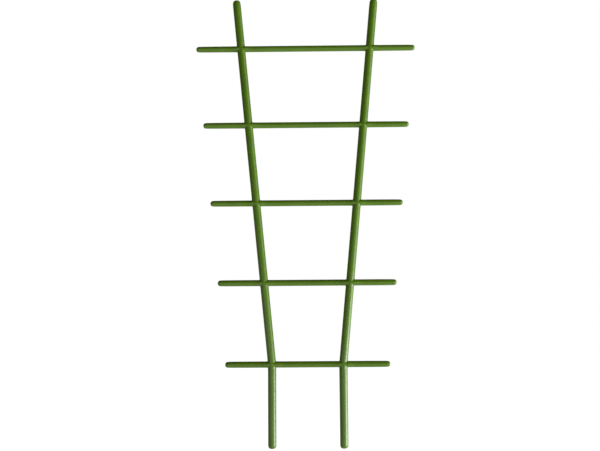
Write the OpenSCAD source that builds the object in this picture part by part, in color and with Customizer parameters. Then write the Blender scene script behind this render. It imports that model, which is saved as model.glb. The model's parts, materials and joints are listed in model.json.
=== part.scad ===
// Flat fan-shaped trellis for training a climbing plant in a pot.
// Two moulded uprights stand on straight legs and flare apart above the lowest
// crossbar. Every crossbar is a round rod that passes through a bore in each
// upright, so all the rods lie in one plane.
// Frame: millimetres, +Z up, +X along the crossbars, the plane of the trellis at
// Y = 0. The origin is midway between the leg tips, at their lowest point.

/* [Overall] */
// Height from the leg tips to the upright tips
overall_h = 450; // [360:5:600]
// Number of crossbars, evenly spaced
crossbar_count = 5; // [3:1:7]

/* [Legs] */
// Length of each leg, from its tip to the lowest crossbar's axis
leg_h = 80.5; // [60:0.5:120]
// Distance between the axes of the two legs
leg_gap = 69.6; // [50:0.2:110]

/* [Uprights] */
// Diameter of each upright
upright_d = 8; // [7.5:0.1:12]
// Distance between the uprights' axes at the top crossbar
top_gap = 131; // [112:1:200]
// Height of the upright tips above the top crossbar's axis
top_reach = 51.5; // [20:0.5:90]
// Radius of the bend between a leg and its flared upright, at the axis
bend_r = 90; // [40:5:120]
// Radius of the flat left at the middle of each rounded upright end
upright_end_flat_r = 1; // [0.4:0.1:2]

/* [Crossbars] */
// Diameter of each crossbar
crossbar_d = 6; // [4:0.1:7.2]
// Length of each crossbar beyond the axis of the upright
overhang = 45.8; // [15:0.2:80]
// Radius of the flat left at the middle of each rounded crossbar end
crossbar_end_flat_r = 0.5; // [0.3:0.1:1.5]

/* [Joints] */
// Radial clearance between a crossbar and its bore: none, as the two are welded
bore_clearance = 0; // [0:0.01:0.1]

/* [Hidden] */
$fn = 96;
// The bend is this much thinner all round than the rods, and runs this far into
// each of them, so that the three solids overlap instead of only touching.
bend_step = 0.05;
bend_overlap_l = 1;
plastic_green = "#4f7d25";

crossbar_pitch = (overall_h - leg_h - top_reach) / (crossbar_count - 1);
top_crossbar_z = overall_h - top_reach;
flare = atan((top_gap - leg_gap) / 2 / (top_crossbar_z - leg_h));
bend_tangent = bend_r * tan(flare / 2);
bend_overlap = bend_overlap_l / bend_r * 180 / PI;
bore_d = crossbar_d + 2 * bore_clearance;
bore_l = 3 * upright_d;

// The rounded end of a leaning rod stands a little above the end of its axis.
upright_end_round_r = upright_d / 2 - upright_end_flat_r;
end_rise = upright_end_round_r * (1 - cos(flare)) + upright_end_flat_r * sin(flare);
upper_l = (overall_h - end_rise - leg_h) / cos(flare) - bend_tangent;

function crossbar_z(i) = leg_h + crossbar_pitch * (i - 1);
function half_gap(z) = leg_gap / 2 + (z - leg_h) * tan(flare);
function crossbar_l(i) = 2 * (half_gap(crossbar_z(i)) + overhang);

// Half of a rounded end's section: a small flat with a quarter round outside it.
module end_section(d, flat_r) {
    round_r = d / 2 - flat_r;
    square([flat_r, round_r]);
    translate([flat_r, round_r])
        intersection() {
            circle(r = round_r);
            translate([0, -round_r]) square(round_r);
        }
}

// A round rod along +Z from the origin, rounded at its start and, if asked, at its far end.
module rod(d, length, flat_r, far_end_round) {
    round_r = d / 2 - flat_r;
    straight_l = length - round_r * (far_end_round ? 2 : 1);
    rotate_extrude() {
        end_section(d, flat_r);
        translate([0, round_r]) square([d / 2, straight_l]);
        if (far_end_round)
            translate([0, length]) mirror([0, 1]) end_section(d, flat_r);
    }
}

// The straight leg that goes into the soil.
module leg() {
    translate([leg_gap / 2, 0, 0])
        rod(upright_d, leg_h - bend_tangent, upright_end_flat_r, false);
}

// The bend that turns the upright outwards, centred on the lowest crossbar.
module bend() {
    translate([leg_gap / 2 + bend_r, 0, leg_h - bend_tangent])
        rotate([90, 0, 0])
            rotate([0, 0, 180 - flare - bend_overlap])
                rotate_extrude(angle = flare + 2 * bend_overlap)
                    translate([bend_r, 0]) circle(d = upright_d - 2 * bend_step);
}

// The flared part of the upright, built down from its rounded tip.
module upper_rod() {
    translate([leg_gap / 2, 0, leg_h])
        rotate([0, flare, 0])
            translate([0, 0, bend_tangent + upper_l])
                mirror([0, 0, 1])
                    rod(upright_d, upper_l, upright_end_flat_r, false);
}

// A bore along X for every crossbar.
module crossbar_bores() {
    for (i = [1:crossbar_count])
        translate([half_gap(crossbar_z(i)), 0, crossbar_z(i)])
            rotate([0, 90, 0])
                cylinder(d = bore_d, h = bore_l, center = true);
}

module right_upright() {
    color(plastic_green)
        difference() {
            union() {
                leg();
                bend();
                upper_rod();
            }
            crossbar_bores();
        }
}

module left_upright() {
    mirror([1, 0, 0]) right_upright();
}

// Crossbar i, counted from the lowest one.
module crossbar(i) {
    color(plastic_green)
        translate([-crossbar_l(i) / 2, 0, crossbar_z(i)])
            rotate([0, 90, 0])
                rod(crossbar_d, crossbar_l(i), crossbar_end_flat_r, true);
}

left_upright();
right_upright();
for (i = [1:crossbar_count])
    crossbar(i);
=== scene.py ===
import json
import math

import bmesh
import bpy
from mathutils import Euler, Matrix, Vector


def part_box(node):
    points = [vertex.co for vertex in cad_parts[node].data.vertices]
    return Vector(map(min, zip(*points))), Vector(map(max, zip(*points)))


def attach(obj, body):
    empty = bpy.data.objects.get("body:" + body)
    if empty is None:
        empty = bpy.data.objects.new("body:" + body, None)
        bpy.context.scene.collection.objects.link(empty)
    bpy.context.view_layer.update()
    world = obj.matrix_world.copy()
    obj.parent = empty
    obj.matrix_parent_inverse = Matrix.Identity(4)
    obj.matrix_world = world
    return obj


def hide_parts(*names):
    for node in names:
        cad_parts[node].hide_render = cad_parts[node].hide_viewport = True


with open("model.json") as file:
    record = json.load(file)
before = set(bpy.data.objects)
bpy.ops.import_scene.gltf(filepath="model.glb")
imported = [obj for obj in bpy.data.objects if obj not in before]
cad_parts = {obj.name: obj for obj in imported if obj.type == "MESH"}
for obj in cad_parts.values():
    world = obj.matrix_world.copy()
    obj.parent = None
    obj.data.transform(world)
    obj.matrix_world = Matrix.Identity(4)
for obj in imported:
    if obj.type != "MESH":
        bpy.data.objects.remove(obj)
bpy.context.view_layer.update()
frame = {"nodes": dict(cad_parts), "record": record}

MM = 0.001

# ---------------------------------------------------------------------------------------
# Camera: a 50 mm lens on a full-frame body, level with the trellis's lower cells and
# looking a little up, so that the upper crossbars are seen from below.
# ---------------------------------------------------------------------------------------
CAMERA_AT = (0.0017, -0.8237, 0.1218)
CAMERA_UP_DEG, CAMERA_TURN_DEG, CAMERA_ROLL_DEG = 6.59, 0.58, -0.38

aim = Euler((math.radians(90 + CAMERA_UP_DEG), 0, math.radians(CAMERA_TURN_DEG)), "XYZ")
aim.rotate_axis("Z", math.radians(CAMERA_ROLL_DEG))
bpy.ops.object.camera_add(location=CAMERA_AT, rotation=aim)
camera = bpy.context.object
camera.name = "camera"
camera.data.lens, camera.data.sensor_width = 50, 36
camera.data.clip_start = 0.01
bpy.context.scene.camera = camera
bpy.context.scene.view_settings.view_transform = "Standard"

# ---------------------------------------------------------------------------------------
# Studio: a white table that throws its light up from below, a dark room above it that is
# darkest on the left, two softboxes on the right and faint ones in front and on the left.
# The floor and the backdrop seen are plain and white.
# ---------------------------------------------------------------------------------------
TABLE_LIGHT, TABLE_TO_RIGHT, TABLE_TO_HORIZON, ROOM_LIGHT = 0.78, 0.42, 0.30, 0.06
HORIZON_SHARPNESS, HORIZON = 6.0, 0.25
FLOOR_SIZE = 12.0
FLOOR_GREY, FLOOR_GLOW = 0.8, 0.97


class Socket:
    """A shader socket that can be used in Python expressions."""

    def __init__(self, tree, link=None):
        self.tree, self.link = tree, link

    def node(self, kind, settings=None, values=None, out=0):
        """Adds a node: its settings first, then the values or links of its sockets."""
        new = self.tree.nodes.new(kind)
        for name, value in (settings or {}).items():
            setattr(new, name, value)
        for name, value in (values or {}).items():
            if isinstance(value, Socket):
                self.tree.links.new(value.link, new.inputs[name])
            else:
                new.inputs[name].default_value = value
        return Socket(self.tree, new.outputs[out] if new.outputs else None)

    def maths(self, operation, *terms):
        return self.node("ShaderNodeMath", {"operation": operation}, dict(enumerate(terms)))

    def __add__(self, other):
        return self.maths("ADD", self, other)

    def __sub__(self, other):
        return self.maths("SUBTRACT", self, other)

    def __rsub__(self, other):
        return self.maths("SUBTRACT", other, self)

    def __mul__(self, other):
        return self.maths("MULTIPLY", self, other)

    __radd__, __rmul__ = __add__, __mul__

    def clamped(self):
        return self.node("ShaderNodeClamp", {}, {"Value": self})

    def part(self, axis):
        """The X, Y or Z of a vector."""
        return self.node("ShaderNodeSeparateXYZ", {}, {0: self}, out="XYZ".index(axis))


world = bpy.data.worlds.new("studio")
bpy.context.scene.world = world
world.use_nodes = True
world.node_tree.nodes.clear()
start = Socket(world.node_tree)
direction = start.node("ShaderNodeTexCoord", out="Generated")
lowness = (HORIZON - HORIZON_SHARPNESS * direction.part("Z")).clamped()
table = TABLE_LIGHT + TABLE_TO_RIGHT * direction.part("X") + TABLE_TO_HORIZON * direction.part("Z")
room = start.node("ShaderNodeBackground", {}, {
    "Color": (1, 1, 1, 1), "Strength": ROOM_LIGHT + lowness * table})
backdrop = start.node("ShaderNodeBackground", {}, {"Color": (1, 1, 1, 1), "Strength": 1.0})
seen = start.node("ShaderNodeLightPath", out="Is Camera Ray")
both = start.node("ShaderNodeMixShader", {}, {0: seen, 1: room, 2: backdrop})
start.node("ShaderNodeOutputWorld", {}, {"Surface": both})

bpy.ops.mesh.primitive_plane_add(size=FLOOR_SIZE)
floor = bpy.context.object
floor.name = "floor"
floor.visible_diffuse = floor.visible_glossy = floor.visible_shadow = False
paper = bpy.data.materials.new("white_paper")
paper.use_nodes = True
paper_shader = paper.node_tree.nodes["Principled BSDF"].inputs
paper_shader["Base Color"].default_value = (FLOOR_GREY, FLOOR_GREY, FLOOR_GREY, 1)
paper_shader["Roughness"].default_value = 0.9
paper_shader["Emission Color"].default_value = (1, 1, 1, 1)
paper_shader["Emission Strength"].default_value = FLOOR_GLOW
floor.data.materials.append(paper)


def softbox(name, at, towards, size, watts):
    bpy.ops.object.light_add(type="AREA", location=at)
    light = bpy.context.object
    light.name = name
    light.data.shape = "RECTANGLE"
    light.data.size, light.data.size_y = size
    light.data.energy = watts
    light.rotation_euler = (Vector(towards) - Vector(at)).to_track_quat("-Z", "Y").to_euler()
    light.visible_camera = False


softbox("softbox_low", at=(1.0, -0.26, -0.13), towards=(0, 0, 0.05), size=(0.8, 0.32), watts=12.5)
softbox("softbox_high", at=(1.0, -0.26, 0.50), towards=(0, 0, 0.30), size=(0.8, 0.90), watts=4.5)
softbox("softbox_front", at=(-0.1, -1.3, -0.05), towards=(0, 0, 0.05), size=(1.6, 0.22), watts=0.5)
softbox("softbox_left", at=(-0.75, -1.07, 0.03), towards=(0, 0, 0.05), size=(0.9, 0.24), watts=0.9)

# ---------------------------------------------------------------------------------------
# Uprights: two round rods of glossy green polypropylene, straight in the leg and flared
# above the lowest crossbar. They come out of a two-part mould, so a fine flash line runs
# along both sides. Each crossing is a cross with soft inner corners and short collars, as
# thick as the upright, so that both rods run out flush at the front and the back.
# ---------------------------------------------------------------------------------------
leg = next(m for m in frame["record"]["mounts"] if m["name"] == "right_leg")
LEG_X = leg["pos_m"][0]
UPRIGHT_R = leg["dims"]["r_mm"] * MM
UPRIGHT_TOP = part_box("right_upright")[1][2]
bar_nodes = sorted((n for n in frame["nodes"] if n.startswith("crossbar_")), key=lambda n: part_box(n)[0][2])
BAR_Z = [(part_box(n)[0][2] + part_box(n)[1][2]) / 2 for n in bar_nodes]
BAR_R = (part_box("crossbar_1")[1][1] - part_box("crossbar_1")[0][1]) / 2
# Every crossbar sticks out equally far, so their ends lean as the uprights do.
lowest_end, highest_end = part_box(bar_nodes[0])[1][0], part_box(bar_nodes[-1])[1][0]
FLARE = math.atan((highest_end - lowest_end) / (BAR_Z[-1] - BAR_Z[0]))
BEND_R = 90 * MM
END_FLAT_R = 1.0 * MM
TOP_TIP_R = 3.85 * MM
FILLET_R = 0.6 * MM
SOCKET_REACH = 5.2 * MM
SOCKET_LIP = 0.03 * MM
# On the seam, what is this far beyond the crossbar or nearer belongs to a collar's end.
INSIDE_LIP = 0.9 * SOCKET_LIP
CROSS_R, CROSS_FLAT, CROSS_REACH = 3.9 * MM, 2 * MM, 12 * MM
GROIN = 0.5 * MM
FLASH_W, FLASH_H = 0.12 * MM, 0.07 * MM
END_CLEAR = 0.5 * MM
PIN_R, PIN_LAND, PIN_DEPTH = 1.3 * MM, 3.9 * MM, 0.1 * MM
PIN_BLOCK, PIN_RIM = 1.7 * MM, 0.15 * MM
PATCH_MARGIN = 0.25 * MM
LIP_CLEAR, LIP_INSET = 0.2 * MM, 0.1 * MM
# Rings of the cage: the longest gap, the lowest ring on the leg, the last ring by a
# crossing, where the even ones start beside it and stop below the top, and how far below
# the top the rod is cut.
RING_GAP, RING_LOWEST, RING_BY_CROSSING = 18 * MM, 7 * MM, 7 * MM
RING_START, RING_STOP, TOP_CUT = 11 * MM, 10 * MM, 7 * MM
LEAN_STEP = 1e-5
SMOOTH_DEG = 35
SIDES = 16
# A subdivided ring of this many sides comes out smaller than its cage by this factor.
CAGE = 1 / (2 / 3 + math.cos(2 * math.pi / SIDES) / 3)
NEAR = 1e-6

PLASTIC_DEEP, PLASTIC_FRESH = (0.071, 0.153, 0.003, 1), (0.101, 0.209, 0.005, 1)
ROUGHNESS, ROUGHNESS_SPREAD = 0.33, 0.08

bend_low = BAR_Z[0] - BEND_R * math.tan(FLARE / 2)
bend_high = bend_low + BEND_R * math.sin(FLARE)


def axis_x(z):
    """Where the axis of the right upright is at a height."""
    if z <= bend_low:
        return LEG_X
    if z < bend_high:
        return LEG_X + BEND_R - math.sqrt(BEND_R**2 - (z - bend_low) ** 2)
    return LEG_X + (z - BAR_Z[0]) * math.tan(FLARE)


def edit_mesh():
    return bmesh.from_edit_mesh(bpy.context.object.data)


def pick(test, kind="verts"):
    """Selects in edit mode whatever passes the test, and nothing else."""
    bpy.ops.mesh.select_all(action="DESELECT")
    bpy.ops.mesh.select_mode(type={"verts": "VERT", "edges": "EDGE", "faces": "FACE"}[kind])
    mesh = edit_mesh()
    for part in getattr(mesh, kind):
        part.select_set(bool(test(part)))
    mesh.select_flush_mode()
    bmesh.update_edit_mesh(bpy.context.object.data)


def put(place):
    """Moves each selected vertex to the place that a function gives for it."""
    for v in edit_mesh().verts:
        if v.select:
            v.co = place(v.co.copy())
    bmesh.update_edit_mesh(bpy.context.object.data)


def round_end(rod_r, flat_r, centre, outward):
    """Domes an open ring: it is extruded and shrunk along a quarter circle, then closed."""
    steps, last_r, last_rise = 4, rod_r, 0.0
    for step in range(1, steps + 1):
        turn = math.radians(90 * step / steps)
        ring_r = flat_r + (rod_r - flat_r) * math.cos(turn)
        rise = (rod_r - flat_r) * math.sin(turn) * (CAGE if step < steps else 1)
        bpy.ops.mesh.extrude_region_move(TRANSFORM_OT_translate={"value": outward * (rise - last_rise)})
        bpy.ops.transform.resize(value=(ring_r / last_r,) * 3, center_override=centre + outward * rise)
        last_r, last_rise = ring_r, rise
    bpy.ops.mesh.edge_face_add()


def round_patch(middle, block, circle_r, level, step, rim):
    """Turns the faces in a block at the back into a round land with a step inside its rim."""
    pick(lambda f: (f.calc_center_median() - middle).length < block and f.normal.y > 0.5, "faces")
    assert sum(f.select for f in edit_mesh().faces) == 4
    bpy.ops.mesh.inset(thickness=PATCH_MARGIN)

    def on_circle(co):
        away = Vector((co.x - middle.x, 0, co.z - middle.z))
        if away.length > 0.3 * circle_r:
            away = away.normalized() * circle_r
        return Vector((middle.x, level, middle.z)) + away

    put(on_circle)
    bpy.ops.mesh.inset(thickness=rim)
    bpy.ops.transform.translate(value=(0, step, 0))


def half_depth(x, bar_z):
    """Half the depth of a crossbar, which grows towards each upright until it is flush."""
    away = abs(abs(x) - axis_x(bar_z)) - CROSS_FLAT
    fade = min(max(away / (CROSS_REACH - CROSS_FLAT), 0), 1)
    return BAR_R + (CROSS_R - BAR_R) * (0.5 + 0.5 * math.cos(math.pi * fade))


def finish_skin(piece, shape, on_seam):
    """Subdivides the cage twice, shapes it, and raises the flash line between the mould halves."""
    bpy.ops.mesh.select_all(action="SELECT")
    bpy.ops.mesh.normals_make_consistent(inside=False)
    bpy.ops.object.mode_set(mode="OBJECT")
    skin = piece.modifiers.new("skin", "SUBSURF")
    skin.levels = skin.render_levels = 2
    bpy.ops.object.modifier_apply(modifier=skin.name)
    bpy.ops.object.mode_set(mode="EDIT")
    bpy.ops.mesh.select_all(action="SELECT")
    put(shape)
    pick(lambda e: all(abs(v.co.y) < NEAR and on_seam(v.co) for v in e.verts), "edges")
    bpy.ops.mesh.bevel(offset=FLASH_W, offset_type="OFFSET", segments=2, profile=0.5, affect="EDGES")
    pick(lambda v: abs(v.co.y) < NEAR and on_seam(v.co, inset=LIP_INSET))
    bpy.ops.transform.shrink_fatten(value=FLASH_H)
    bpy.ops.mesh.select_all(action="SELECT")
    bpy.ops.mesh.dissolve_degenerate(threshold=NEAR)
    bpy.ops.object.mode_set(mode="OBJECT")
    bpy.ops.object.shade_smooth_by_angle(angle=math.radians(SMOOTH_DEG))


def green_plastic(name, flow):
    """Glossy green polypropylene whose streaks and ripples run along the way it flowed."""
    plastic = bpy.data.materials.new(name)
    plastic.use_nodes = True
    shader = plastic.node_tree.nodes["Principled BSDF"]
    place = Socket(plastic.node_tree).node("ShaderNodeTexCoord", out="Object")
    along = place.node("ShaderNodeMapping", {}, {"Vector": place, "Scale": flow})

    def noise(vector, size_mm, detail=2.0):
        scale = 1 / (size_mm * MM)
        values = {"Vector": vector, "Scale": scale, "Detail": detail, "Roughness": 0.55}
        return place.node("ShaderNodeTexNoise", {}, values) - 0.5

    streaks = noise(along, 1.2, 3.0)
    clouds = noise(place, 22)
    freshness = (0.5 + 0.6 * streaks + 1.2 * clouds).clamped()
    colour = place.node("ShaderNodeMix", {"data_type": "RGBA"},
                        {0: freshness, 6: PLASTIC_DEEP, 7: PLASTIC_FRESH}, out=2)
    plastic.node_tree.links.new(colour.link, shader.inputs["Base Color"])

    rough = ROUGHNESS + ROUGHNESS_SPREAD * (noise(along, 0.8) + noise(place, 6))
    plastic.node_tree.links.new(rough.link, shader.inputs["Roughness"])

    relief = 0.4 * streaks + 0.5 * noise(place, 1.6) + 0.2 * noise(place, 0.35)
    bump = place.node("ShaderNodeBump", {}, {"Strength": 1.0, "Distance": 0.03 * MM, "Height": relief})
    plastic.node_tree.links.new(bump.link, shader.inputs["Normal"])
    return plastic


ROW = BAR_R + FILLET_R
BALL = UPRIGHT_R + FILLET_R


def socket(bar_z, side):
    """Opens a patch of one side of the rod, and draws its rim over a fillet into a collar."""
    middle_x = axis_x(bar_z)

    def on_patch(f):
        at = f.calc_center_median()
        return abs(at.z - bar_z) < ROW and (at.x - axis_x(at.z)) * side > abs(at.y) * 1.02

    pick(on_patch, "faces")
    bpy.ops.mesh.region_to_loop()
    rim = [v.co.copy() for v in edit_mesh().verts if v.select]
    pick(on_patch, "faces")
    bpy.ops.mesh.delete(type="FACE")
    pick(lambda v: any((v.co - point).length < NEAR for point in rim))

    def turn_from_up(co):
        return math.atan2(co.y, co.z - bar_z)

    def contact(turn):
        """The centre of a ball that rolls round the crossbar and touches it and the upright."""
        y, z = ROW * math.sin(turn), ROW * math.cos(turn)
        return Vector((math.sqrt(BALL**2 - y**2), y, z))

    def on_side(point):
        return Vector((axis_x(bar_z + point.z) + side * point.x, point.y, bar_z + point.z))

    def on_upright(co):
        column = math.atan2(co.y, abs(co.x - axis_x(co.z)))
        line = (co.z - bar_z) / (ROW / 2) * math.radians(360 / SIDES)
        if abs(line) > 1.99 * math.radians(360 / SIDES):
            turn = column if line > 0 else math.pi - column
        else:
            turn = (math.pi / 2 - line) * math.copysign(1, column)
        ball = contact(turn)
        touch = Vector((ball.x, ball.y, 0)) * UPRIGHT_R / BALL * CAGE
        return on_side(Vector((touch.x, touch.y, ball.z)))

    def on_fillet(co):
        turn = math.atan2(co.y * BALL / UPRIGHT_R / CAGE, co.z - bar_z)
        ball = contact(turn)
        to_upright = Vector((-ball.x, -ball.y, 0)).normalized()
        to_bar = Vector((0, -ball.y, -ball.z)).normalized()
        return on_side(ball + (to_upright + to_bar).normalized() * FILLET_R)

    def on_collar(co):
        turn = turn_from_up(co)
        collar_r = (BAR_R + SOCKET_LIP) * CAGE
        return on_side(Vector((contact(turn).x, collar_r * math.sin(turn), collar_r * math.cos(turn))))

    def at_lip(co, lip_r=(BAR_R + SOCKET_LIP) * CAGE):
        turn = turn_from_up(co)
        y, rise = lip_r * math.sin(turn), lip_r * math.cos(turn)
        return Vector((middle_x + side * SOCKET_REACH, y, bar_z + rise))

    def at_bore(co):
        return at_lip(co, (BAR_R - SOCKET_LIP) * CAGE)

    for place in (on_upright, on_fillet, on_collar, at_lip, at_bore):
        if place is not on_upright:
            bpy.ops.mesh.extrude_region_move()
        put(place)


def near_lip(co, bar_z, radius):
    """Is a point at the end of a collar, and within a radius of the crossbar's axis?"""
    at_end = abs(abs(co.x - axis_x(bar_z)) - SOCKET_REACH) < NEAR
    return at_end and math.hypot(co.y, co.z - bar_z) < radius


def at_lip_corner(edge):
    """Is an edge round the outer or inner corner of a collar's end?"""
    a, b = (v.co for v in edge.verts)
    if abs(a.x - b.x) > NEAR:
        return False
    for z in BAR_Z:
        if near_lip(a, z, UPRIGHT_R) and near_lip(b, z, UPRIGHT_R):
            return abs(math.hypot(a.y, a.z - z) - math.hypot(b.y, b.z - z)) < NEAR
    return False


def on_upright_seam(co, inset=0.0):
    """The flash line runs over the outer skin and the fillets, but not to the lips or ends."""
    if co.z < END_CLEAR or co.z > UPRIGHT_TOP - END_CLEAR:
        return False
    for z in BAR_Z:
        off, away = abs(co.z - z), abs(co.x - axis_x(z))
        if off < BAR_R + INSIDE_LIP and away < SOCKET_REACH + NEAR:
            return False
        if off < BAR_R + LIP_CLEAR and away > SOCKET_REACH - max(inset, 2 * NEAR):
            return False
    return True


def crossing_skin(co):
    """Raises the skin at a crossing to that of the crossbar, with a soft groin between them."""
    bar_z = min(BAR_Z, key=lambda z: abs(z - co.z))
    rise, depth = co.z - bar_z, half_depth(co.x, bar_z)
    # One scale for the whole flat end of a collar keeps its narrow rings from crossing.
    radius = math.hypot(co.y, rise)
    at_end = abs(abs(co.x - axis_x(bar_z)) - SOCKET_REACH) < NEAR and radius < UPRIGHT_R
    if at_end or radius < BAR_R + SOCKET_LIP / 4:
        return Vector((co.x, co.y * depth / BAR_R, co.z))
    on_pin = co.y > 0 and math.hypot(co.x - axis_x(bar_z), rise) < 1.05 * PIN_R
    if on_pin or abs(rise) >= BAR_R + SOCKET_LIP or abs(co.y) < NEAR:
        return co
    own = abs(co.y)
    bar_skin = (depth + SOCKET_LIP) * math.sqrt(1 - (rise / (BAR_R + SOCKET_LIP)) ** 2)
    soft = GROIN * own / UPRIGHT_R
    blend = max(soft - abs(own - bar_skin), 0) / soft
    return Vector((co.x, math.copysign(max(own, bar_skin) + blend**2 * soft / 4, co.y), co.z))


heights = set()
spans_low, spans_high = [RING_LOWEST], []
for z in BAR_Z:
    heights.update(z + k * ROW for k in (-1, -0.5, 0, 0.5, 1))
    heights.update((z - RING_BY_CROSSING, z + RING_BY_CROSSING))
    spans_high.append(z - RING_START)
    spans_low.append(z + RING_START)
spans_high.append(UPRIGHT_TOP - RING_STOP)
for low, high in zip(spans_low, spans_high):
    gaps = math.ceil((high - low) / RING_GAP)
    heights.update(low + (high - low) * k / gaps for k in range(gaps + 1))

rod_low, rod_high = UPRIGHT_R - END_FLAT_R, UPRIGHT_TOP - TOP_CUT
bpy.ops.object.select_all(action="DESELECT")
bpy.ops.mesh.primitive_cylinder_add(
    vertices=SIDES, radius=UPRIGHT_R * CAGE, depth=rod_high - rod_low, end_fill_type="NOTHING",
    location=(0, 0, (rod_low + rod_high) / 2), rotation=(0, 0, math.radians(90)))
right_upright = bpy.context.object
right_upright.name = "right_upright_rod"
bpy.ops.object.transform_apply()
bpy.ops.object.mode_set(mode="EDIT")
for z in sorted(heights):
    bpy.ops.mesh.select_all(action="SELECT")
    bpy.ops.mesh.bisect(plane_co=(0, 0, z), plane_no=(0, 0, 1))

# Each ring slides sideways onto the bent and leaning axis.
for z in sorted({round(v.co.z, 6) for v in edit_mesh().verts}):
    pick(lambda v: abs(v.co.z - z) < 2 * NEAR)
    lean = (axis_x(z + LEAN_STEP) - axis_x(z - LEAN_STEP)) / (2 * LEAN_STEP)
    bpy.ops.transform.resize(value=(math.sqrt(1 + lean**2), 1, 1), center_override=(0, 0, z))
    bpy.ops.transform.translate(value=(axis_x(z), 0, 0))

pick(lambda v: v.co.z < rod_low + NEAR)
round_end(UPRIGHT_R, END_FLAT_R, Vector((LEG_X, 0, rod_low)), Vector((0, 0, -1)))

# The top end tapers a little, and is square to the leaning axis.
tip_z = UPRIGHT_TOP - (TOP_TIP_R - END_FLAT_R) * math.cos(FLARE) - END_FLAT_R * math.sin(FLARE)
tip = Vector((axis_x(tip_z), 0, tip_z))
pick(lambda v: v.co.z > rod_high - NEAR)
bpy.ops.mesh.extrude_region_move(
    TRANSFORM_OT_translate={"value": tip - Vector((axis_x(rod_high), 0, rod_high))})
narrow = TOP_TIP_R / UPRIGHT_R
bpy.ops.transform.resize(value=(narrow * math.cos(FLARE), narrow, 1), center_override=tip)
bpy.ops.transform.rotate(value=-FLARE, orient_axis="Y", center_override=tip)
round_end(TOP_TIP_R, END_FLAT_R, tip, Vector((math.sin(FLARE), 0, math.cos(FLARE))))

for bar_z in BAR_Z:
    socket(bar_z, 1)
    socket(bar_z, -1)
    pick(lambda v: near_lip(v.co, bar_z, BAR_R * CAGE))
    bpy.ops.mesh.select_mode(type="EDGE")
    bpy.ops.mesh.bridge_edge_loops()
    # An ejector pin leaves a small round land at the back.
    at_back = Vector((axis_x(bar_z), UPRIGHT_R, bar_z))
    round_patch(at_back, PIN_BLOCK, PIN_R, PIN_LAND, -PIN_DEPTH, PIN_RIM)
pick(at_lip_corner, "edges")
bpy.ops.transform.edge_crease(value=1.0)
finish_skin(right_upright, crossing_skin, on_upright_seam)
right_upright.data.materials.append(green_plastic("green_plastic_upright", (1, 1, 0.06)))

bpy.ops.object.duplicate()
left_upright = bpy.context.object
left_upright.name = "left_upright_rod"
bpy.ops.object.mode_set(mode="EDIT")
bpy.ops.mesh.select_all(action="SELECT")
bpy.ops.transform.resize(value=(-1, 1, 1), center_override=(0, 0, 0))
bpy.ops.mesh.normals_make_consistent(inside=False)
bpy.ops.object.mode_set(mode="OBJECT")

for rod, node in ((right_upright, "right_upright"), (left_upright, "left_upright")):
    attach(rod, "root")
    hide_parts(node)

# ---------------------------------------------------------------------------------------
# Crossbars: five thinner round rods of the same plastic, domed at both ends. Each passes
# through both uprights, and its flash lines run along its top and its underside.
# ---------------------------------------------------------------------------------------
BAR_TIP_R, BAR_END_FLAT_R = 2.8 * MM, 0.35 * MM
BAR_TAPER_L, BAR_TAPER = 3 * MM, 0.985
GATE_BAR, GATE_R, GATE_H = 3, 0.9 * MM, 0.35 * MM
GATE_BLOCK, GATE_SINK, GATE_RIM = 1.4 * MM, 0.05 * MM, 0.12 * MM
GATE_RING_GAP, GATE_CLEAR = 1.2 * MM, 5 * MM

crossbar_plastic = green_plastic("green_plastic_crossbar", (0.06, 1, 1))
for number, node in enumerate(bar_nodes, start=1):
    half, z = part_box(node)[1][0], BAR_Z[number - 1]
    rod_end = half - (BAR_TIP_R - BAR_END_FLAT_R)
    bpy.ops.object.select_all(action="DESELECT")
    bpy.ops.mesh.primitive_cylinder_add(
        vertices=SIDES, radius=BAR_R * CAGE, depth=2 * rod_end, end_fill_type="NOTHING",
        location=(0, 0, z), rotation=(0, math.radians(90), 0))
    bar = bpy.context.object
    bar.name = f"{node}_rod"
    bpy.ops.object.transform_apply()
    bpy.ops.object.mode_set(mode="EDIT")
    straight = rod_end - BAR_TAPER_L
    gaps = math.ceil(2 * straight / RING_GAP)
    places = [-straight + 2 * straight * k / gaps for k in range(gaps + 1)]
    places = [x for x in places if abs(x) > GATE_CLEAR] + [k * GATE_RING_GAP for k in range(-2, 3)]
    for away in range(-12, 13, 3):
        places += [axis_x(z) + away * MM, -axis_x(z) - away * MM]
    for x in places:
        bpy.ops.mesh.select_all(action="SELECT")
        bpy.ops.mesh.bisect(plane_co=(x, 0, 0), plane_no=(1, 0, 0))
    for side in (1, -1):
        # The last few millimetres taper a little before the dome.
        for back, tip_r in ((BAR_TAPER_L, BAR_TAPER * BAR_R), (0, BAR_TIP_R)):
            pick(lambda v: abs(v.co.x * side - rod_end + back) < NEAR)
            bpy.ops.transform.resize(value=(1, tip_r / BAR_R, tip_r / BAR_R), center_override=(0, 0, z))
        round_end(BAR_TIP_R, BAR_END_FLAT_R, Vector((side * rod_end, 0, z)), Vector((side, 0, 0)))
    if number == GATE_BAR:
        # The plastic was injected here, and the runner broke off at the back.
        bpy.ops.mesh.select_all(action="SELECT")
        bpy.ops.mesh.normals_make_consistent(inside=False)
        round_patch(Vector((0, BAR_R, z)), GATE_BLOCK, GATE_R, BAR_R - GATE_SINK, GATE_H, GATE_RIM)
    finish_skin(bar, lambda co: Vector((co.x, co.y * half_depth(co.x, z) / BAR_R, co.z)),
                lambda co, inset=0.0: abs(co.x) < half - END_CLEAR)
    bar.data.materials.append(crossbar_plastic)
    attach(bar, "root")
    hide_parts(node)
